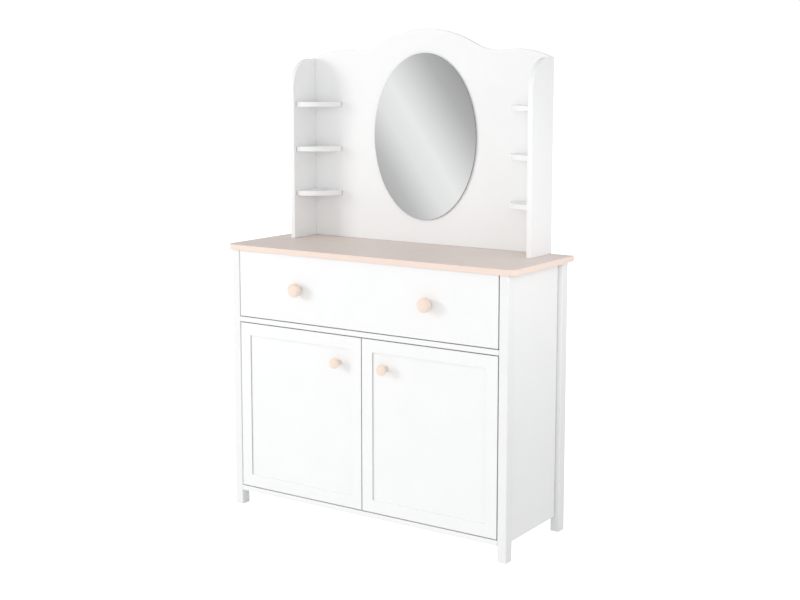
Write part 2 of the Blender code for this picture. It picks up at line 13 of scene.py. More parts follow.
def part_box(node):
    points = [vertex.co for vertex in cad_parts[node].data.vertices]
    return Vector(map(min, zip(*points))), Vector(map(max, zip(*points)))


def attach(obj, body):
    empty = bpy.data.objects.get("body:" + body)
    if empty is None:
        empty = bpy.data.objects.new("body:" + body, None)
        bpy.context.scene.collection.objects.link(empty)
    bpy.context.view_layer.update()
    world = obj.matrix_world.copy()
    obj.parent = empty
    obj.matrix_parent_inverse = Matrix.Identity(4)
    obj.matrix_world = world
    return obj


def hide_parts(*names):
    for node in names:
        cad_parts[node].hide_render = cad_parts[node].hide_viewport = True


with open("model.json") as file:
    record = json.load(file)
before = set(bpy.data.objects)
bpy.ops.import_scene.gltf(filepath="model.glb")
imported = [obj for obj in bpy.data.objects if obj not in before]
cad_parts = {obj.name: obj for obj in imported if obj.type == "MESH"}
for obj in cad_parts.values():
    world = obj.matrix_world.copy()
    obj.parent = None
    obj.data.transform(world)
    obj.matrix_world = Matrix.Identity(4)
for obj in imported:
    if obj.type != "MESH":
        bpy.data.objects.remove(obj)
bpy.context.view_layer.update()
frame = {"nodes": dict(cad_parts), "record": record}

SIDES = (("left", -1), ("right", 1))
LEVELS = ("lower", "upper")
SHELF_LEVELS = ("lower", "middle", "upper")

# Colours
WHITE = (0.901, 0.905, 0.906)
LEG_PAINTED_SHADE = 0.965         # painted shade: the legs get a darker copy of the boards' white, as they stand a little darker than the fronts
ROSE = (0.760, 0.663, 0.613)
ROSE_EDGE = (0.880, 0.720, 0.638)
KNOB_PALE = (0.925, 0.780, 0.675)
KNOB_DARK = (0.890, 0.725, 0.615)
BOARD_WHITE = (0.86, 0.86, 0.85)
BOARD_FIBRE = (0.78, 0.76, 0.73)
FOIL_WHITE = (0.86, 0.86, 0.86)
EPOXY_WHITE = (0.88, 0.88, 0.87)
NICKEL = (0.70, 0.69, 0.67)
NYLON_WHITE = (0.86, 0.86, 0.83)
RUBBER_GREY = (0.42, 0.42, 0.42)
FOAM_WHITE = (0.80, 0.80, 0.78)
SILVER = (0.93, 0.935, 0.935)
GLASS_GREY = (0.27, 0.30, 0.29)
GLASS_DARK = (0.24, 0.27, 0.26)
GLASS_PALE = (0.31, 0.34, 0.33)
FRONT_GAP_SHADE_GREY = (0.67, 0.67, 0.67)           # painted shade: grey on the edges of the inset fronts, so the gaps round them read as dark lines
RECESS_PAINTED_SHADE = (0.36, 0.36, 0.36)         # painted shade on the walls of the milled recesses

# Textures
NOISE_LOW, NOISE_HIGH = 0.3, 0.7         # most of a noise lies between these
GRAIN = (0.08, 1.0, 1.0)                 # wood grain, long in X
FIBRES_PER_METRE = 900

# Boards
EDGE = 0.0009            # eased edge of a laminated board
EDGE_STEPS = 4
POST_ROUND = 0.0025
POST_ROUND_STEPS = 6
POST_EASE = 0.0012       # at the ends of a post
SHADED_EDGE_FACE = 0.2          # a front's edges, painted with grey shade, have normals with less than this along Y
GROOVE = 0.004           # shadow groove between a side panel and a post
GROOVE_DEPTH = 0.008
PANEL_EASE = 0.0006      # at the ends of a side panel

# Doors
DOOR_FRAME = 0.040       # width of the flat frame round a door's milled panel
DOOR_RECESS = 0.003
DOOR_EDGE = 0.001
RECESS_ROUND = 0.0005    # at the top and the foot of the recess's walls
RECESS_CORNER = 0.0015
SHADED_WALL_FACE = 0.3          # the recess's walls painted with shade have normals with more than this in X or Z

# Table top
BAND = 0.002
TOP_CORNER = 0.030
TOP_REAR_CORNER = 0.0006
TOP_CORNER_STEPS = 24
BAND_EASE = 0.0008
BAND_STEPS = 5
BAND_JOINT = 0.00012     # hairline between the band and the top
TOP_EASE = 0.00015

# Hutch and mirror
CREST = (0.380, math.radians(28.7))     # radius and half angle of the crown's middle
VALLEY = (0.178, math.radians(6.4))     # radius, and rise past its lowest point
SHOULDER_RADIUS = 0.332
HUTCH_CORNER = 0.095
CURVE_STEPS = 28
SHELF_STEPS = 40
GLASS_EASE = 0.0007
GLASS_EASE_STEPS = 3
GLASS_STEPS = 160
SILVER_FACE = -0.99      # the silvered face has a normal with less than this along Y

# Knobs, as shares of the radius: depths of the head's domed face, straight rim and rounded
# back, then radii of neck and foot
DRAWER_KNOB_SHAPE = (0.35, 0.45, 0.25, 0.45, 0.55)
DOOR_KNOB_SHAPE = (0.26, 0.06, 0.22, 0.34, 0.52)
KNOB_FRONTS = {"drawer_left_knob": "drawer_front", "drawer_right_knob": "drawer_front",
               "left_door_knob": "left_door", "right_door_knob": "right_door"}
NECK_LOW = 0.34          # also a share of the radius, as are the next three
FOOT_THICK = 0.15
FOOT_EASE = 0.05
NECK_FLARE = 0.10
FOOT_SPREAD = 0.93       # where the foot's slope meets its rim, as a share of the foot
FOOT_BREAK = 0.0003      # metres
HEAD_TURN = 4.5          # degrees between two points of the head
HEAD_QUARTER = 20        # steps from the middle of the face to the rim
HEAD_POINTS = 34
NECK_TURN = 15           # degrees between two points of the neck
NECK_STEPS = 6
LATHE_STEPS = 96
KEEP_SHARP = 50          # degrees

# Screws, caps and nails
CROSS_ARM = ((1.0, -0.2), (1.0, 0.0), (1.0, 0.2), (0.6, 0.2), (0.2, 0.2), (0.2, 0.6))
CROSS_LEVELS = ((0.50, 1.0), (0.36, 0.2))       # reach and height of the cross's mouth and floor
RING_STEPS = 4 * len(CROSS_ARM)
# Shares of the radius and of the height, from the seat up
HEAD_SHAPE = ((1.0, 0.0), (1.0, 0.35), (0.93, 0.62), (0.80, 0.82), (0.66, 0.95), (0.58, 1.0))
CAP_SHAPE = ((1.0, 0.0), (1.0, 0.45), (0.95, 0.75), (0.86, 0.93), (0.74, 1.0))
# Radius and height of each kind of head
HINGE_SCREW = (0.0036, 0.0011)
CABINET_RUNNER_SCREW = (0.0030, 0.0011)
DRAWER_RUNNER_SCREW = (0.0030, 0.0010)
KNOB_SCREW = (0.0042, 0.0022)
CAP = (0.0062, 0.0012)
NAIL = (0.0028, 0.0007)
# Hinges: thickness of the cup's flange and the arm's plate, then distances of the screws from
# the middle of the cup or the plate, and from the front end of the arm
CUP_FLANGE = 0.0015
ARM_PLATE = 0.0025
CUP_SCREWS_DZ = (-0.0228, 0.0228)
PLATE_SCREWS_DZ = (-0.0145, 0.0145)
PLATE_SCREWS_DY = 0.026
ARM_SCREWS_DY = (0.020, 0.040)
# Runners: thickness of the steel, and distances from the front end and from the edge
RUNNER_STEEL = 0.0012
RUNNER_GAP = 0.0003
CABINET_SCREWS_DY = (0.050, 0.160, 0.290)
CABINET_SCREWS_DOWN = 0.0042
DRAWER_SCREWS_DY = (0.050, 0.150, 0.260)
DRAWER_SCREWS_UP = 0.0100
CAP_FROM_END = 0.060
NAIL_PITCH = 0.110
NAILS_EACH_WAY = 4

# Pieces kept from the CAD model
WELD_DISTANCE = 0.00001
CAD_EASE = 0.0003
CAD_EASE_FROM = 40       # degrees between two faces

# Light and camera
AMBIENT = 0.70
FLOOR_TONE = 0.78
FLOOR_GLOW = 0.80        # what the camera sees of the floor's own light
FLOOR_LIGHT = 0.14       # what falls on the object
FLOOR_REACH = 60.0
SKY_GLOW = 1.05          # what the camera sees past the floor
CARD_PLACE = (-4.12, -6.20, 0.845)
CARD_REACH = 3.0
CARD_FADE = 1.1          # distance from the card's middle where the band starts to fade
CARD_ACROSS = (1 / 0.53, 1 / 0.735, 0.0)
CARD_SPAN = 1.5
# Shares of the band's width, and how light the card is there
CARD_TONES = [(0.03, 0.47), (0.13, 0.54), (0.23, 0.68), (0.33, 0.81), (0.49, 0.88), (0.60, 0.77),
              (0.73, 0.60), (0.83, 0.47), (0.97, 0.38)]
# Name, place, point that it faces, width and height, watts
LIGHTS = (
    ("left_key", (-3.9, -3.2, 1.85), (0, -0.1, 0.9), (1.6, 1.6), 77.0),
    ("front_fill", (1.5, -4.6, 1.6), (0, 0, 1.0), (4.0, 2.4), 38.0),
    ("right_soft", (1.25, -0.15, 1.1), (0.5, 0.05, 0.95), (0.5, 0.5), 2.4),
)
CAMERA_PLACE = (2.3895, -3.5174, 1.4407)
CAMERA_TURN = (90 - 7.353, 0.0, 33.844)  # degrees
CAMERA_LENS = 61.08
CAMERA_SENSOR = 36.0
CAMERA_SHIFT = -0.07


# ---------------------------------------------------------------- materials

def new_material(name, colour, roughness, metallic=0.0):
    """A Principled material and what is needed to add to it."""
    material = bpy.data.materials.new(name)
    material.use_nodes = True
    tree = material.node_tree
    shader = tree.nodes["Principled BSDF"]
    shader.inputs["Base Color"].default_value = (*colour, 1.0)
    shader.inputs["Roughness"].default_value = roughness
    shader.inputs["Metallic"].default_value = metallic
    return material, tree, shader


def object_coordinates(tree, scale=(1.0, 1.0, 1.0)):
    """Object coordinates in metres, stretched by scale."""
    source = tree.nodes.new("ShaderNodeTexCoord")
    mapping = tree.nodes.new("ShaderNodeMapping")
    mapping.inputs["Scale"].default_value = scale
    tree.links.new(source.outputs["Object"], mapping.inputs["Vector"])
    return mapping.outputs["Vector"]


def noise(tree, vector, scale, detail=2.0, rough=0.5):
    """Smooth noise about 0.5: scale is its blotches for each metre."""
    node = tree.nodes.new("ShaderNodeTexNoise")
    node.inputs["Scale"].default_value = scale
    node.inputs["Detail"].default_value = detail
    node.inputs["Roughness"].default_value = rough
    tree.links.new(vector, node.inputs["Vector"])
    return node.outputs["Fac"]


def remap(tree, value, low, high, from_low=NOISE_LOW, from_high=NOISE_HIGH):
    """Carries a value from one range into another."""
    node = tree.nodes.new("ShaderNodeMapRange")
    node.inputs["From Min"].default_value = from_low
    node.inputs["From Max"].default_value = from_high
    node.inputs["To Min"].default_value = low
    node.inputs["To Max"].default_value = high
    tree.links.new(value, node.inputs["Value"])
    return node.outputs["Result"]


def ramp(tree, value, stops):
    """Colours along a value: stops is a list of (position, (r, g, b))."""
    node = tree.nodes.new("ShaderNodeValToRGB")
    elements = node.color_ramp.elements
    while len(elements) < len(stops):
        elements.new(0.5)
    for element, (position, colour) in zip(elements, stops):
        element.position = position
        element.color = (*colour, 1.0)
    tree.links.new(value, node.inputs["Fac"])
    return node.outputs["Color"]


def bump(tree, shader, height, distance):
    """Height is a noise or the like, and distance is how much it raises, in metres."""
    node = tree.nodes.new("ShaderNodeBump")
    node.inputs["Distance"].default_value = distance
    node.inputs["Strength"].default_value = 1.0
    tree.links.new(height, node.inputs["Height"])
    tree.links.new(node.outputs["Normal"], shader.inputs["Normal"])


def tinted(colour, factor):
    return tuple(min(1.0, c * factor) for c in colour)


def vary_colour(tree, shader, value, dark, light, stops=(NOISE_LOW, NOISE_HIGH)):
    """A base colour that wanders between two tones with a noise."""
    tones = ramp(tree, value, list(zip(stops, (dark, light))))
    tree.links.new(tones, shader.inputs["Base Color"])


def vary_roughness(tree, shader, value, low, high):
    tree.links.new(remap(tree, value, low, high), shader.inputs["Roughness"])


def laminate(name, colour, roughness, variation=0.008, pearl=0.00002):
    """Melamine-faced board: a fine pearl texture, and very faint differences in tone and gloss."""
    material, tree, shader = new_material(name, colour, roughness)
    vector = object_coordinates(tree)
    vary_colour(tree, shader, noise(tree, vector, scale=7.0, detail=3.0),
                tinted(colour, 1 - variation), tinted(colour, 1 + variation))
    vary_roughness(tree, shader, noise(tree, vector, scale=45.0, detail=3.0),
                   roughness - 0.03, roughness + 0.03)
    bump(tree, shader, noise(tree, vector, scale=1400.0, detail=1.0), distance=pearl)
    return material


def wood(name, pale, dark, roughness):
    """Pale lacquered wood with its grain along X."""
    material, tree, shader = new_material(name, pale, roughness)
    wave = tree.nodes.new("ShaderNodeTexWave")
    wave.wave_type = "BANDS"
    wave.bands_direction = "Z"
    wave.inputs["Scale"].default_value = 60.0
    wave.inputs["Distortion"].default_value = 5.0
    wave.inputs["Detail"].default_value = 3.0
    wave.inputs["Detail Scale"].default_value = 1.2
    tree.links.new(object_coordinates(tree, GRAIN), wave.inputs["Vector"])
    grain = ramp(tree, wave.outputs["Fac"], [(0.0, pale), (0.62, tinted(pale, 0.985)), (1.0, dark)])
    fine = object_coordinates(tree, [s * FIBRES_PER_METRE for s in GRAIN])
    fibres = noise(tree, fine, scale=1.0, detail=4.0, rough=0.65)
    shade = ramp(tree, fibres, [(0.35, (0.94, 0.93, 0.92)), (0.6, (1.0, 1.0, 1.0))])
    mix = tree.nodes.new("ShaderNodeMix")
    mix.data_type = "RGBA"
    mix.blend_type = "MULTIPLY"
    mix.inputs["Factor"].default_value = 1.0
    tree.links.new(grain, mix.inputs["A"])
    tree.links.new(shade, mix.inputs["B"])
    tree.links.new(mix.outputs["Result"], shader.inputs["Base Color"])
    vary_roughness(tree, shader, fibres, roughness + 0.05, roughness - 0.04)
    bump(tree, shader, fibres, distance=0.00003)
    return material


def metal(name, colour, roughness, brushed=(1.0, 1.0, 1.0), metallic=1.0):
    """Plated or coated steel, with fine drawn marks where brushed is uneven."""
    material, tree, shader = new_material(name, colour, roughness, metallic)
    vector = object_coordinates(tree, brushed)
    marks = noise(tree, vector, scale=900.0, detail=3.0, rough=0.6)
    vary_roughness(tree, shader, marks, roughness - 0.07, roughness + 0.09)
    vary_colour(tree, shader, noise(tree, vector, scale=60.0), tinted(colour, 0.94), colour)
    bump(tree, shader, marks, distance=0.00001)
    return material


def plastic(name, colour, roughness, grain=300.0, depth=0.00003):
    """Moulded plastic, rubber or foam with a fine grain."""
    material, tree, shader = new_material(name, colour, roughness)
    vector = object_coordinates(tree)
    vary_colour(tree, shader, noise(tree, vector, scale=40.0),
                tinted(colour, 0.97), tinted(colour, 1.02))
    bump(tree, shader, noise(tree, vector, scale=grain, detail=3.0), distance=depth)
    return material


def fibreboard(name, colour, fibre):
    """Lacquered thin fibreboard: short fibres show through as specks."""
    material, tree, shader = new_material(name, colour, roughness=0.6)
    vector = object_coordinates(tree, (1.0, 1.0, 0.45))
    specks = noise(tree, vector, scale=420.0, detail=5.0, rough=0.7)
    vary_colour(tree, shader, specks, fibre, colour, stops=(0.35, 0.55))
    bump(tree, shader, specks, distance=0.00004)
    return material


def mirror_glass(name):
    """Silvered glass: a metal-like face with the faintest unevenness."""
    material, tree, shader = new_material(name, SILVER, roughness=0.015, metallic=1.0)
    vector = object_coordinates(tree)
    vary_roughness(tree, shader, noise(tree, vector, scale=12.0), 0.008, 0.022)
    bump(tree, shader, noise(tree, vector, scale=2.5, detail=1.0), distance=0.00002)
    return material


def glass_edge(name):
    """The polished edge of float glass: a neutral grey, darker than the face."""
    material, tree, shader = new_material(name, GLASS_GREY, roughness=0.12)
    vector = object_coordinates(tree)
    vary_colour(tree, shader, noise(tree, vector, scale=60.0), GLASS_DARK, GLASS_PALE)
    return material


MATERIALS = {
    "white_board": laminate("white_laminate", WHITE, roughness=0.36),
    "rose_top": laminate("rose_laminate", ROSE, roughness=0.40, variation=0.015, pearl=0.00003),
    "rose_edge": laminate("rose_edge_band", ROSE_EDGE, roughness=0.36, variation=0.012,
                          pearl=0.00001),
    "knob_wood": wood("knob_wood", KNOB_PALE, KNOB_DARK, roughness=0.42),
    "mirror_glass": mirror_glass("mirror_silver"),
    "back_board": fibreboard("white_fibreboard", BOARD_WHITE, BOARD_FIBRE),
    "drawer_board": laminate("drawer_foil", FOIL_WHITE, roughness=0.48, variation=0.01,
                             pearl=0.00003),
    "runner_steel": metal("white_epoxy_steel", EPOXY_WHITE, roughness=0.34, metallic=0.0),
    "hinge_steel": metal("nickel_steel", NICKEL, roughness=0.27, brushed=(0.2, 1.0, 1.0)),
    "nylon": plastic("nylon", NYLON_WHITE, roughness=0.42),
    "stop_rubber": plastic("grey_rubber", RUBBER_GREY, roughness=0.75),
    "mirror_tape": plastic("foam_tape", FOAM_WHITE, roughness=0.85, grain=700.0, depth=0.0001),
}
GLASS_EDGE = glass_edge("mirror_edge")
# Painted shade: the legs' white laminate made a little darker than the boards'
LEG_SHADED_WHITE = laminate("legs_shaded_white", tinted(WHITE, LEG_PAINTED_SHADE), roughness=0.38)
# Painted shade: grey on the fronts' edges, which darkens the gaps round them
FRONT_EDGE_SHADE = laminate("front_edge_painted_shade", FRONT_GAP_SHADE_GREY, roughness=0.45)
# Painted shade: dark grey for the walls of the doors' recesses
RECESS_SHADE = laminate("recess_painted_shade", RECESS_PAINTED_SHADE, roughness=0.5)
NODE_SLOT = {s["node"]: s["material_slot"] for s in frame["record"]["subparts"]}
NODE_BODY = {n: body for body, nodes in frame["record"]["behaviour"]["bodies"].items()
             for n in nodes}


# ---------------------------------------------------------------- shapes

def arc(centre, radius, start, end, steps):
    """Points on a circle from one angle to another, both ends included."""
    points = []
    for i in range(steps + 1):
        angle = start + (end - start) * i / steps
        points.append((centre[0] + radius * math.cos(angle), centre[1] + radius * math.sin(angle)))
    return points


def rounded_rectangle(low, high, radii, steps=EDGE_STEPS):
    """Anticlockwise from the low corner. radii is one radius or four, one for each corner."""
    if isinstance(radii, float):
        radii = (radii,) * 4
    corners = ((low[0], low[1], 1, 1), (high[0], low[1], -1, 1),
               (high[0], high[1], -1, -1), (low[0], high[1], 1, -1))
    points = []
    for i, ((x, y, dx, dy), r) in enumerate(zip(corners, radii)):
        start = math.pi + i * math.pi / 2
        points += arc((x + dx * r, y + dy * r), r, start, start + math.pi / 2, steps)
    return points


def inset(outline, distance):
    """An anticlockwise outline moved inwards, with mitred corners."""
    count = len(outline)
    moved = []
    for i, point in enumerate(outline):
        here = Vector(point)
        before = (here - Vector(outline[i - 1])).normalized()
        after = (Vector(outline[(i + 1) % count]) - here).normalized()
        normal = Vector((-before.y - after.y, before.x + after.x))
        normal.normalize()
        share = max(0.5, normal.dot(Vector((-after.y, after.x))))
        moved.append(tuple(here + normal * distance / share))
    return moved


def edge_profile(low, high, radius, steps=EDGE_STEPS):
    """(inset, height) pairs from the middle of one face round the edge to the other face."""
    rise = [radius * math.sin(math.pi / 2 * i / steps) for i in range(steps + 1)]
    step_in = [radius * (1 - math.cos(math.pi / 2 * i / steps)) for i in range(steps + 1)]
    bottom = [(step_in[i], low + radius - rise[i]) for i in range(steps, -1, -1)]
    top = [(step_in[i], high - radius + rise[i]) for i in range(steps + 1)]
    return bottom + top


# Local X, Y, Z of a slab laid in each plane, as columns
PLANES = {
    "XY": Matrix(((1, 0, 0), (0, 1, 0), (0, 0, 1))).to_4x4(),
    "XZ": Matrix(((1, 0, 0), (0, 0, -1), (0, 1, 0))).to_4x4(),
    "YZ": Matrix(((0, 0, 1), (1, 0, 0), (0, 1, 0))).to_4x4(),
}


def smooth_mesh(name, bm):
    """Ends the bmesh as a smooth mesh with its faces pointing out."""
    bmesh.ops.recalc_face_normals(bm, faces=bm.faces)
    mesh = bpy.data.meshes.new(name)
    bm.to_mesh(mesh)
    bm.free()
    mesh.shade_smooth()
    return mesh


def bridge(bm, lower, upper):
    """Faces between two closed rows of vertices."""
    count = len(lower)
    for i in range(count):
        j = (i + 1) % count
        bm.faces.new((lower[i], lower[j], upper[j], upper[i]))


def skin(bm, rings, matrix):
    """Adds a closed skin through rings of equal length, each a list of local points."""
    rows = [[bm.verts.new(matrix @ Vector(p)) for p in ring] for ring in rings]
    for lower, upper in zip(rows, rows[1:]):
        bridge(bm, lower, upper)
    bm.faces.new(rows[0][::-1])
    bm.faces.new(rows[-1])


def loft(name, rings, matrix):
    bm = bmesh.new()
    skin(bm, rings, matrix)
    return smooth_mesh(name, bm)


def add_piece(name, mesh, body, material, slot, replaced=(), flat_faces=True):
    """Puts a finished mesh in the scene as a piece of the object."""
    obj = bpy.data.objects.new(name, mesh)
    bpy.context.scene.collection.objects.link(obj)
    mesh.materials.append(material)
    if flat_faces:
        weighted = obj.modifiers.new("normals", "WEIGHTED_NORMAL")
        weighted.weight = 60
    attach(obj, body)
    if replaced:
        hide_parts(*replaced)
    return obj


def node_piece(node, mesh, material=None, **options):
    """A finished piece that stands for one CAD node."""
    slot = NODE_SLOT[node]
    return add_piece(node + "_fine", mesh, NODE_BODY[node], material or MATERIALS[slot], slot,
                     (node,), **options)


def slab_mesh(name, outline, low, high, radius, plane):
    """A flat piece with eased edges. low and high are its faces along the plane's normal."""
    rings = []
    for step_in, height in edge_profile(low, high, radius):
        ring = inset(outline, step_in) if step_in else outline
        rings.append([(x, y, height) for x, y in ring])
    return loft(name, rings, PLANES[plane])


def normal_span(node, plane):
    """The node's extent along a plane's local Z."""
    low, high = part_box(node)
    if plane == "XY":
        return low.z, high.z
    if plane == "XZ":
        return -high.y, -low.y
    return low.x, high.x


def flat_corners(node, plane):
    """The node's low and high corner in a plane's local X and Y."""
    low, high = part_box(node)
    if plane == "XY":
        return (low.x, low.y), (high.x, high.y)
    if plane == "XZ":
        return (low.x, low.z), (high.x, high.z)
    return (low.y, low.z), (high.y, high.z)


def thin_plane(node):
    """The plane in which a board lies."""
    low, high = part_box(node)
    size = high - low
    thinnest = min(range(3), key=lambda i: size[i])
    return ("YZ", "XZ", "XY")[thinnest]


def make_board(node):
    plane = thin_plane(node)
    low, high = flat_corners(node, plane)
    outline = rounded_rectangle(low, high, EDGE)
    return node_piece(node, slab_mesh(node, outline, *normal_span(node, plane), EDGE, plane))


# ---------------------------------------------------------------- boards

def make_legs():
    """Square posts, rounded along their length and eased at the foot, in a darker copy of the white
    that paints shade on them.
    """
    for side, _ in SIDES:
        for row in ("front", "rear"):
            node = f"{side}_{row}_leg"
            low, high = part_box(node)
            outline = rounded_rectangle((low.x, low.y), (high.x, high.y), POST_ROUND, POST_ROUND_STEPS)
            node_piece(node, slab_mesh(node, outline, low.z, high.z, POST_EASE, "XY"), LEG_SHADED_WHITE)


def make_boards():
    """The plain boards, and the drawer's front with painted shade on its edges."""
    for node in ("bottom_panel", "drawer_divider", "inner_shelf"):
        make_board(node)
    # Painted shade on the drawer front's edges
    shade_front_edges(make_board("drawer_front").data)


def shade_front_edges(mesh, last=None):
    """Painted shade on the four edges of a front: a grey darker than its face, so its gaps read as
    dark lines.
    """
    mesh.materials.append(FRONT_EDGE_SHADE)
    slot = len(mesh.materials) - 1
    for polygon in list(mesh.polygons)[:last]:
        if abs(polygon.normal.y) < SHADED_EDGE_FACE:
            polygon.material_index = slot


def make_side_panel(side, sign):
    """A cabinet side with a shadow groove along each post."""
    node = f"{side}_side_panel"
    low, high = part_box(node)
    inner, outer = (high.x, low.x) if sign < 0 else (low.x, high.x)
    step, round_x = outer - sign * GROOVE_DEPTH, outer - sign * EDGE
    front, back = low.y + GROOVE, high.y - GROOVE
    bend = [math.pi / 2 * i / EDGE_STEPS for i in range(EDGE_STEPS + 1)]
    outline = [(inner, low.y), (step, low.y), (step, front)]
    outline += [(round_x + sign * EDGE * math.sin(t), front + EDGE * (1 - math.cos(t))) for t in bend]
    outline += [(round_x + sign * EDGE * math.cos(t), back - EDGE * (1 - math.sin(t))) for t in bend]
    outline += [(step, back), (step, high.y), (inner, high.y)]
    if sign < 0:
        outline.reverse()
    node_piece(node, slab_mesh(node, outline, low.z, high.z, PANEL_EASE, "XY"))


def make_door(side):
    """A one-piece front: a flat frame round a shallow milled panel with crisp walls. The walls and the
    outer edges are painted with grey shade.
    """
    node = f"{side}_door"
    (x0, z0), (x1, z1) = flat_corners(node, "XZ")
    back, front = normal_span(node, "XZ")
    rings = [(*pair, DOOR_EDGE) for pair in edge_profile(back, front, DOOR_EDGE)]
    turns = [math.pi / 2 * i / EDGE_STEPS for i in range(EDGE_STEPS + 1)]
    rings += [(DOOR_FRAME - RECESS_ROUND * (1 - math.sin(t)),
               front - RECESS_ROUND * (1 - math.cos(t)), RECESS_CORNER) for t in turns]
    wall = len(rings) - 1
    floor = front - DOOR_RECESS
    rings += [(DOOR_FRAME + RECESS_ROUND * (1 - math.cos(t)),
               floor + RECESS_ROUND * (1 - math.sin(t)), RECESS_CORNER) for t in turns]
    loops = []
    for step_in, height, radius in rings:
        low, high = (x0 + step_in, z0 + step_in), (x1 - step_in, z1 - step_in)
        loops.append([(x, z, height) for x, z in rounded_rectangle(low, high, radius)])
    mesh = loft(node, loops, PLANES["XZ"])
    node_piece(node, mesh)
    # Painted shade: the left, right and top walls of the recess get a dark grey
    mesh.materials.append(RECESS_SHADE)
    first = wall * len(loops[0])
    last = (len(loops) - 1) * len(loops[0])
    for polygon in list(mesh.polygons)[first:last]:
        if abs(polygon.normal.x) > SHADED_WALL_FACE or polygon.normal.z < -SHADED_WALL_FACE:
            polygon.material_index = 1
    # Painted shade on the door's outer edges
    shade_front_edges(mesh, first)


def make_table_top():
    """The rose top with its plastic edge band: the band is flush, with a hairline joint."""
    low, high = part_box("table_top_edge_band")
    corners = (TOP_CORNER, TOP_CORNER, TOP_REAR_CORNER, TOP_REAR_CORNER)
    outline = rounded_rectangle((low.x, low.y), (high.x, high.y), corners, TOP_CORNER_STEPS)
    inner = inset(outline, BAND)
    top_outline = inset(outline, BAND + BAND_JOINT)
    node_piece("table_top", slab_mesh("table_top", top_outline, low.z, high.z, TOP_EASE, "XY"))
    rings = []
    for step_in, height in edge_profile(low.z, high.z, BAND_EASE, BAND_STEPS):
        rings.append([(x, y, height) for x, y in inset(outline, step_in)])
    for height in (high.z, low.z):
        rings.append([(x, y, height) for x, y in inner])
    rings.append(rings[0])
    node_piece("table_top_edge_band", ring_mesh("table_top_edge_band", rings))


def ring_mesh(name, rings):
    """A closed band: the last ring is the first again."""
    bm = bmesh.new()
    rows = [[bm.verts.new(p) for p in ring] for ring in rings[:-1]]
    for lower, upper in zip(rows, rows[1:] + rows[:1]):
        bridge(bm, lower, upper)
    return smooth_mesh(name, bm)


# ---------------------------------------------------------------- hutch

def crown_half(half_width, crown_top):
    """The right half of the crown's edge: a convex crest, a hollow, and a convex shoulder."""
    up = math.pi / 2
    crest_radius, crest_angle = CREST
    valley_radius, valley_rise = VALLEY
    crest_centre = (0.0, crown_top - crest_radius)
    reach = crest_radius + valley_radius
    valley_centre = (reach * math.sin(crest_angle), crest_centre[1] + reach * math.cos(crest_angle))
    reach = valley_radius + SHOULDER_RADIUS
    shoulder_centre = (valley_centre[0] + reach * math.sin(valley_rise),
                       valley_centre[1] - reach * math.cos(valley_rise))
    end = math.acos((half_width - shoulder_centre[0]) / SHOULDER_RADIUS)
    crest = arc(crest_centre, crest_radius, up, up - crest_angle, CURVE_STEPS)
    valley = arc(valley_centre, valley_radius, -up - crest_angle, -up + valley_rise, CURVE_STEPS)
    shoulder = arc(shoulder_centre, SHOULDER_RADIUS, up + valley_rise, end, CURVE_STEPS)
    return crest + valley[1:] + shoulder[1:]


def make_hutch_back():
    low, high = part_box("hutch_back_panel")
    right = crown_half(high.x, high.z)
    left = [(-x, z) for x, z in right[:0:-1]]
    crown = (left + right)[::-1]
    foot = rounded_rectangle((low.x, low.z), (high.x, high.z), EDGE)[:2 * (EDGE_STEPS + 1)]
    outline = foot + crown
    front, back = normal_span("hutch_back_panel", "XZ")
    node_piece("hutch_back_panel", slab_mesh("hutch_back_panel", outline, front, back, EDGE, "XZ"))


def make_hutch_sides():
    for side, _ in SIDES:
        node = f"hutch_{side}_side"
        low, high = flat_corners(node, "YZ")
        outline = rounded_rectangle(low, high, (EDGE, EDGE, EDGE, HUTCH_CORNER), CURVE_STEPS)
        node_piece(node, slab_mesh(node, outline, *normal_span(node, "YZ"), EDGE, "YZ"))


def make_corner_shelves():
    """Quarter-round shelves: straight against the hutch, round towards the room."""
    for side, sign in SIDES:
        for level in SHELF_LEVELS:
            node = f"{side}_{level}_corner_shelf"
            low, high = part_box(node)
            radius = high.x - low.x
            corner = (low.x if sign < 0 else high.x, high.y)
            start = -math.pi / 2 if sign < 0 else math.pi
            outline = [corner] + arc(corner, radius, start, start + math.pi / 2, SHELF_STEPS)
            node_piece(node, slab_mesh(node, outline, low.z, high.z, EDGE, "XY"))


def make_mirror():
    """Oval float glass: silvered face, narrow polished bevel, grey edge."""
    low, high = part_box("mirror")
    centre = (low + high) / 2
    half_x, half_z = (high.x - low.x) / 2, (high.z - low.z) / 2
    back, front = normal_span("mirror", "XZ")
    rings = []
    for step_in, height in edge_profile(back, front, GLASS_EASE, GLASS_EASE_STEPS):
        ring = []
        for i in range(GLASS_STEPS):
            angle = 2 * math.pi * i / GLASS_STEPS
            ring.append((centre.x + (half_x - step_in) * math.cos(angle),
                         centre.z + (half_z - step_in) * math.sin(angle), height))
        rings.append(ring)
    mesh = loft("mirror", rings, PLANES["XZ"])
    node_piece("mirror", mesh)
    mesh.materials.append(GLASS_EDGE)
    for polygon in mesh.polygons:
        polygon.material_index = 0 if polygon.normal.y < SILVER_FACE else 1


# ---------------------------------------------------------------- knobs

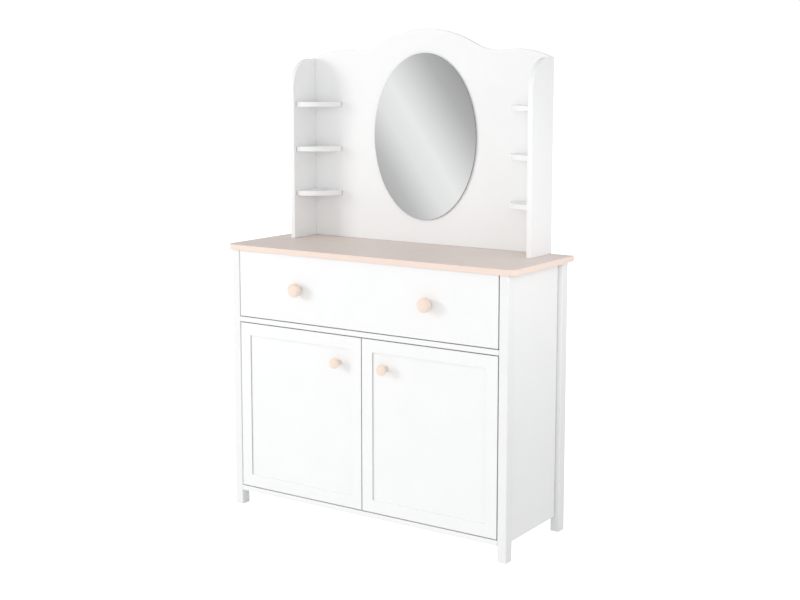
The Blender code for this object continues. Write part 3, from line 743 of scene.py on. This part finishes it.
def knob_profile(radius, reach, shape):
    """(radius, height) pairs of a turned knob, from the middle of its face to its foot."""
    dome, rim, back, neck, foot = (share * radius for share in shape)
    rim_front, rim_back, low = reach - dome, reach - dome - rim, NECK_LOW * radius
    turns = [math.radians(HEAD_TURN * i) for i in range(HEAD_POINTS)]
    to_rim, from_rim = turns[:HEAD_QUARTER + 1], turns[HEAD_QUARTER:]
    head = [(radius * math.sin(t), rim_front + dome * math.cos(t)) for t in to_rim]
    head += [(radius * math.sin(t), rim_back + back * math.cos(t)) for t in from_rim]
    start, under = head[-1]
    turns = [math.radians(NECK_TURN * (i + 1)) for i in range(NECK_STEPS)]
    flare = [(start - (start - neck) * math.sin(t), under - NECK_FLARE * radius * (1 - math.cos(t)))
             for t in turns]
    slope_end, thick, ease = foot * FOOT_SPREAD, FOOT_THICK * radius, FOOT_EASE * radius
    spread = [(slope_end - (slope_end - neck) * math.cos(t), low - (low - thick) * math.sin(t))
              for t in turns]
    foot_rim = arc((foot - ease, thick - ease), ease, math.radians(90), 0.0, NECK_STEPS)
    seat = [(foot, FOOT_BREAK), (foot - FOOT_BREAK, 0.0), (0.0, 0.0)]
    return head + flare + [(neck, low)] + spread + foot_rim + seat


def lathe_mesh(name, profile, matrix):
    """Turns a profile about local Z: a radius of nothing is a single point."""
    bm = bmesh.new()
    rows = []
    for radius, height in profile:
        if radius == 0.0:
            rows.append([bm.verts.new(matrix @ Vector((0, 0, height)))])
            continue
        row = []
        for i in range(LATHE_STEPS):
            angle = 2 * math.pi * i / LATHE_STEPS
            row.append(bm.verts.new(matrix @ Vector((radius * math.cos(angle),
                                                     radius * math.sin(angle), height))))
        rows.append(row)
    for upper, lower in zip(rows, rows[1:]):
        for i in range(LATHE_STEPS):
            j = (i + 1) % LATHE_STEPS
            if len(upper) == 1:
                bm.faces.new((upper[0], lower[i], lower[j]))
            elif len(lower) == 1:
                bm.faces.new((upper[i], lower[0], upper[j]))
            else:
                bm.faces.new((upper[i], lower[i], lower[j], upper[j]))
    mesh = smooth_mesh(name, bm)
    mesh.set_sharp_from_angle(angle=math.radians(KEEP_SHARP))
    return mesh


def make_knobs():
    for node in KNOB_FRONTS:
        low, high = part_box(node)
        centre = Vector(((low.x + high.x) / 2, high.y, (low.z + high.z) / 2))
        outward = Matrix.Translation(centre) @ Matrix.Rotation(math.pi / 2, 4, "X")
        shape = DOOR_KNOB_SHAPE if node.endswith("door_knob") else DRAWER_KNOB_SHAPE
        profile = knob_profile((high.x - low.x) / 2, high.y - low.y, shape)
        node_piece(node, lathe_mesh(node, profile, outward), flat_faces=False)


# ---------------------------------------------------------------- hardware

def head_rings(radius, height, shape, cross):
    """Rings of a screw head or a cap from its seat up, and down into its cross recess.

    A ring starts one step back, where the outline of the cross starts.
    """
    turns = [2 * math.pi * (i - 1) / RING_STEPS for i in range(RING_STEPS)]
    rings = [[(share * radius * math.cos(t), share * radius * math.sin(t), rise * height)
              for t in turns] for share, rise in shape]
    if cross:
        arms = [Matrix.Rotation(quarter * math.pi / 2, 2) for quarter in range(4)]
        outline = [turn @ Vector(point) for turn in arms for point in CROSS_ARM]
        for reach, rise in CROSS_LEVELS:
            rings.append([(*(point * reach * radius), rise * height) for point in outline])
    return rings


def facing(place, direction):
    """Stands a piece at a place with its local Z along a direction."""
    turn = Vector(direction).to_track_quat("Z", "Y").to_matrix().to_4x4()
    return Matrix.Translation(place) @ turn


def add_heads(name, body, places, direction, size, cap=False):
    """One piece for a group of screw heads, or of push-in caps, that face the same way."""
    rings = head_rings(*size, CAP_SHAPE if cap else HEAD_SHAPE, not cap)
    bm = bmesh.new()
    for place in places:
        skin(bm, rings, facing(place, direction))
    slot = "nylon" if cap else "hinge_steel"
    add_piece(name, smooth_mesh(name, bm), body, MATERIALS[slot], slot)


def make_hinge_screws():
    for side, sign in SIDES:
        door_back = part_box(f"{side}_door")[1].y
        for level in LEVELS:
            low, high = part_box(f"{side}_{level}_hinge_cup")
            x, z = (low.x + high.x) / 2, (low.z + high.z) / 2
            places = [(x, door_back + CUP_FLANGE, z + dz) for dz in CUP_SCREWS_DZ]
            add_heads(f"{side}_{level}_cup_screws", f"{side}_door", places, (0, 1, 0), HINGE_SCREW)
            low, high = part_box(f"{side}_{level}_hinge_arm")
            outer, inner = (low.x, high.x) if sign < 0 else (high.x, low.x)
            z = (low.z + high.z) / 2
            places = [(outer - sign * ARM_PLATE, low.y + PLATE_SCREWS_DY, z + dz)
                      for dz in PLATE_SCREWS_DZ]
            places += [(inner, low.y + dy, z) for dy in ARM_SCREWS_DY]
            add_heads(f"{side}_{level}_arm_screws", "carcass", places, (-sign, 0, 0), HINGE_SCREW)


def make_runner_screws():
    for side, sign in SIDES:
        low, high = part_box(f"{side}_cabinet_runner")
        wall = (low.x if sign < 0 else high.x) - sign * RUNNER_STEEL
        places = [(wall, low.y + dy, high.z - CABINET_SCREWS_DOWN) for dy in CABINET_SCREWS_DY]
        add_heads(f"{side}_cabinet_runner_screws", "carcass", places, (-sign, 0, 0),
                  CABINET_RUNNER_SCREW)
        low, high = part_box(f"drawer_{side}_side")
        web = (low.x if sign < 0 else high.x) + sign * (RUNNER_STEEL + RUNNER_GAP)
        places = [(web, low.y + dy, low.z + DRAWER_SCREWS_UP) for dy in DRAWER_SCREWS_DY]
        add_heads(f"{side}_drawer_runner_screws", "drawer", places, (sign, 0, 0),
                  DRAWER_RUNNER_SCREW)


def make_knob_screws():
    for knob, front in KNOB_FRONTS.items():
        low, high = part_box(knob)
        place = ((low.x + high.x) / 2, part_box(front)[1].y, (low.z + high.z) / 2)
        add_heads(f"{knob}_screw", NODE_BODY[front], [place], (0, 1, 0), KNOB_SCREW)


def make_back_fasteners():
    """Caps over the screws that hold the hutch together, and the nails of the back board."""
    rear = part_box("hutch_back_panel")[1].y
    places = []
    for side, _ in SIDES:
        low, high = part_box(f"hutch_{side}_side")
        x = (low.x + high.x) / 2
        heights = (low.z + CAP_FROM_END, (low.z + high.z) / 2, high.z - CAP_FROM_END)
        places += [(x, rear, z) for z in heights]
        for level in SHELF_LEVELS:
            low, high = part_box(f"{side}_{level}_corner_shelf")
            places.append(((low.x + high.x) / 2, rear, (low.z + high.z) / 2))
    add_heads("hutch_screw_caps", "carcass", places, (0, 1, 0), CAP, cap=True)
    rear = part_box("cabinet_back_board")[1].y
    places = []
    for board in ("bottom_panel", "drawer_divider"):
        low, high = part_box(board)
        places += [(NAIL_PITCH * step, rear, (low.z + high.z) / 2)
                   for step in range(-NAILS_EACH_WAY, NAILS_EACH_WAY + 1)]
    add_heads("back_board_nails", "carcass", places, (0, 1, 0), NAIL)


def make_hardware():
    make_hinge_screws()
    make_runner_screws()
    make_knob_screws()
    make_back_fasteners()


# ---------------------------------------------------------------- plain CAD pieces

def finish_cad_nodes():
    """Gives each CAD node its material, and eases the edges of those that stay visible."""
    for node, obj in frame["nodes"].items():
        obj.data.materials.clear()
        obj.data.materials.append(MATERIALS[NODE_SLOT[node]])
        if obj.hide_render:
            continue
        weld = obj.modifiers.new("weld", "WELD")
        weld.merge_threshold = WELD_DISTANCE
        bevel = obj.modifiers.new("ease", "BEVEL")
        bevel.width = CAD_EASE
        bevel.segments = 2
        bevel.limit_method = "ANGLE"
        bevel.angle_limit = math.radians(CAD_EASE_FROM)


# ---------------------------------------------------------------- studio

def emission_material(name):
    """A material that only gives light, and what is needed to colour it."""
    material = bpy.data.materials.new(name)
    material.use_nodes = True
    tree = material.node_tree
    tree.nodes.clear()
    output = tree.nodes.new("ShaderNodeOutputMaterial")
    emission = tree.nodes.new("ShaderNodeEmission")
    emission.inputs["Strength"].default_value = 1.0
    tree.links.new(emission.outputs["Emission"], output.inputs["Surface"])
    return material, tree, emission


def camera_ray(tree):
    """1 for what the camera sees directly, 0 for light that bounces."""
    return tree.nodes.new("ShaderNodeLightPath").outputs["Is Camera Ray"]


def clear_from_below(tree, shader):
    """Lets a camera under the floor see through it."""
    clear = tree.nodes.new("ShaderNodeBsdfTransparent")
    mix = tree.nodes.new("ShaderNodeMixShader")
    side = tree.nodes.new("ShaderNodeNewGeometry")
    tree.links.new(side.outputs["Backfacing"], mix.inputs["Fac"])
    tree.links.new(shader.outputs["BSDF"], mix.inputs[1])
    tree.links.new(clear.outputs["BSDF"], mix.inputs[2])
    tree.links.new(mix.outputs["Shader"], tree.nodes["Material Output"].inputs["Surface"])


def flat_square(name, reach):
    """A square on the floor, with its middle at the origin and its sides that far away."""
    bm = bmesh.new()
    bmesh.ops.create_grid(bm, x_segments=1, y_segments=1, size=reach)
    mesh = bpy.data.meshes.new(name)
    bm.to_mesh(mesh)
    bm.free()
    square = bpy.data.objects.new(name, mesh)
    bpy.context.scene.collection.objects.link(square)
    return square


def make_floor():
    """A wide pale floor that looks plain white to the camera, but for soft contact shadows."""
    floor = flat_square("floor", FLOOR_REACH)
    material, tree, shader = new_material("pale_floor", (FLOOR_TONE,) * 3, roughness=0.9)
    shader.inputs["Specular IOR Level"].default_value = 0.0
    shader.inputs["Emission Color"].default_value = (1.0, 1.0, 1.0, 1.0)
    glow = remap(tree, camera_ray(tree), FLOOR_LIGHT, FLOOR_GLOW, 0.0, 1.0)
    tree.links.new(glow, shader.inputs["Emission Strength"])
    clear_from_below(tree, shader)
    floor.data.materials.append(material)


def make_world():
    """Even light from all round, and plain white where the camera sees past the floor."""
    world = bpy.data.worlds.new("studio")
    bpy.context.scene.world = world
    world.use_nodes = True
    tree = world.node_tree
    background = tree.nodes["Background"]
    background.inputs["Color"].default_value = (1.0, 1.0, 1.0, 1.0)
    strength = remap(tree, camera_ray(tree), AMBIENT, SKY_GLOW, 0.0, 1.0)
    tree.links.new(strength, background.inputs["Strength"])


def area_light(name, location, target, size, power):
    """A large soft light that faces a point."""
    data = bpy.data.lights.new(name, "AREA")
    data.shape = "RECTANGLE"
    data.size, data.size_y = size
    data.energy = power
    light = bpy.data.objects.new(name, data)
    bpy.context.scene.collection.objects.link(light)
    light.location = location
    light.rotation_euler = (Vector(target) - Vector(location)).to_track_quat("-Z", "Y").to_euler()
    light.visible_camera = False
    light.visible_glossy = False


def make_reflection_card():
    """A card out in front, seen only in reflections: a slanting band of light in the mirror."""
    card = flat_square("reflection_card", 1.0)
    card.scale = (CARD_REACH, CARD_REACH, 1.0)
    card.location = CARD_PLACE
    card.rotation_euler = (math.radians(90), 0.0, 0.0)
    for ray in ("camera", "diffuse", "shadow", "transmission", "volume_scatter"):
        setattr(card, "visible_" + ray, False)
    material, tree, emission = emission_material("card_light")
    place = object_coordinates(tree, (CARD_REACH,) * 3)
    across = tree.nodes.new("ShaderNodeVectorMath")
    across.operation = "DOT_PRODUCT"
    across.inputs[1].default_value = CARD_ACROSS
    tree.links.new(place, across.inputs[0])
    stops = [(position, (tone,) * 3) for position, tone in CARD_TONES]
    share = remap(tree, across.outputs["Value"], 0.0, 1.0, -CARD_SPAN, CARD_SPAN)
    band = ramp(tree, share, stops)
    reach = tree.nodes.new("ShaderNodeVectorMath")
    reach.operation = "LENGTH"
    tree.links.new(place, reach.inputs[0])
    mix = tree.nodes.new("ShaderNodeMix")
    mix.data_type = "RGBA"
    fade = remap(tree, reach.outputs["Value"], 0.0, 1.0, CARD_FADE, CARD_REACH)
    tree.links.new(fade, mix.inputs["Factor"])
    tree.links.new(band, mix.inputs["A"])
    mix.inputs["B"].default_value = (AMBIENT, AMBIENT, AMBIENT, 1.0)
    tree.links.new(mix.outputs["Result"], emission.inputs["Color"])
    card.data.materials.append(material)


def make_camera():
    data = bpy.data.cameras.new("camera")
    data.sensor_width = CAMERA_SENSOR
    data.lens = CAMERA_LENS
    data.shift_y = CAMERA_SHIFT
    camera = bpy.data.objects.new("camera", data)
    camera.location = CAMERA_PLACE
    camera.rotation_euler = [math.radians(turn) for turn in CAMERA_TURN]
    bpy.context.scene.collection.objects.link(camera)
    bpy.context.scene.camera = camera


def make_studio():
    bpy.context.scene.view_settings.view_transform = "Standard"
    make_world()
    make_floor()
    for light in LIGHTS:
        area_light(*light)
    make_reflection_card()
    make_camera()


def main():
    make_legs()
    make_boards()
    for side, sign in SIDES:
        make_side_panel(side, sign)
        make_door(side)
    make_table_top()
    make_hutch_back()
    make_hutch_sides()
    make_corner_shelves()
    make_mirror()
    make_knobs()
    make_hardware()
    finish_cad_nodes()
    make_studio()


main()
